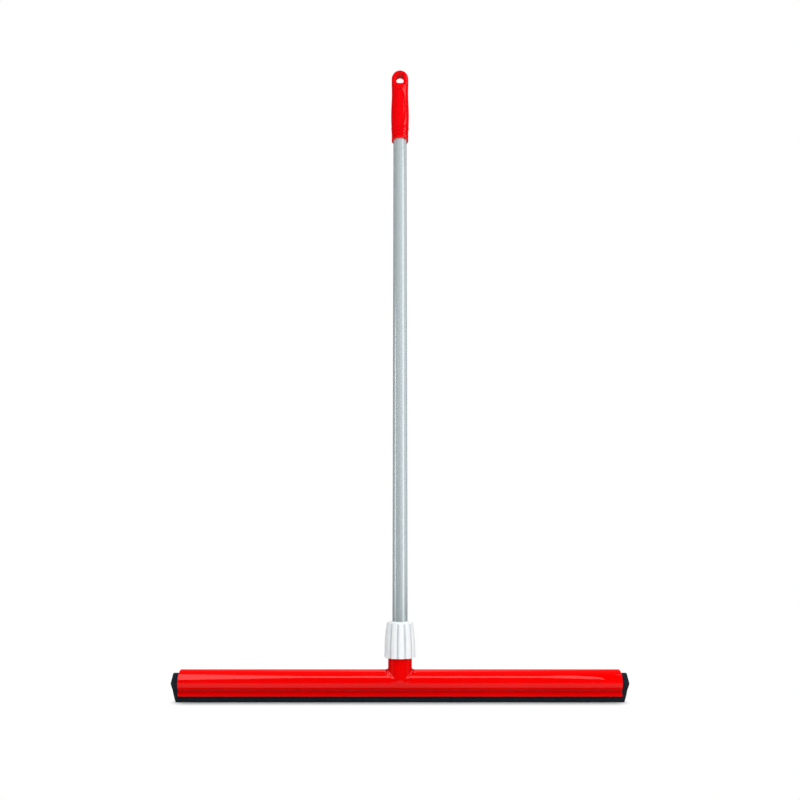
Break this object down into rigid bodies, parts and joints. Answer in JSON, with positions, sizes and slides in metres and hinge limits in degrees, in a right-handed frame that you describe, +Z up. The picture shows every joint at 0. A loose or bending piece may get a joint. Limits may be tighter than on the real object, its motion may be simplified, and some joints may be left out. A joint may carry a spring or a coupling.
{
  "type": "floor squeegee",
  "caption": "Floor squeegee: a long moulded frame with a slide-in foam rubber refill, a ribbed clamp nut over its socket, and a tube handle with a hang-hole grip.",
  "frame": {"origin": "on the floor, at the middle of the box's footprint, under the handle's axis, with the blades' tips at Z = 0", "axes": "+Z up along the handle, +X along the head, -Y the front face that the picture shows"},
  "size_m": [0.75, 0.053, 1.1704],
  "materials": {
    "frame_plastic": "glossy moulded red plastic",
    "grip_plastic": "satin moulded red plastic",
    "nut_plastic": "satin white nylon",
    "spine_plastic": "plain black plastic",
    "foam_rubber": "matt closed-cell foam rubber",
    "tube_aluminium": "satin anodised"
  },
  "bodies": {
    "head": {"head_frame": "frame_plastic"},
    "refill": {"blade_spine": "spine_plastic", "front_blade": "foam_rubber", "rear_blade": "foam_rubber"},
    "collet": {"collet": "nut_plastic"},
    "nut": {"clamp_nut": "nut_plastic"},
    "handle": {"handle_tube": "tube_aluminium", "tube_foot_plug": "spine_plastic", "grip": "grip_plastic"}
  },
  "joints": [
    {"name": "refill_slide", "type": "slide", "parent": "head", "child": "refill", "axis": [1, 0, 0], "range_m": [0, 0.7]},
    {"name": "collet_slide", "type": "slide", "parent": "head", "child": "collet", "axis": [0, 0, 1], "range_m": [0, 0.012]},
    {"name": "nut_turn", "type": "hinge", "parent": "collet", "child": "nut", "pos_m": [0, 0, 0.0995], "axis": [0, 0, 1], "range_deg": [0, 1080]},
    {"name": "handle_slide", "type": "slide", "parent": "head", "child": "handle", "axis": [0, 0, 1], "range_m": [0, 0.06]}
  ],
  "couplings": [
    {"joint": "nut_turn", "follows": "collet_slide", "rad_per_m": 1570.8}
  ]
}
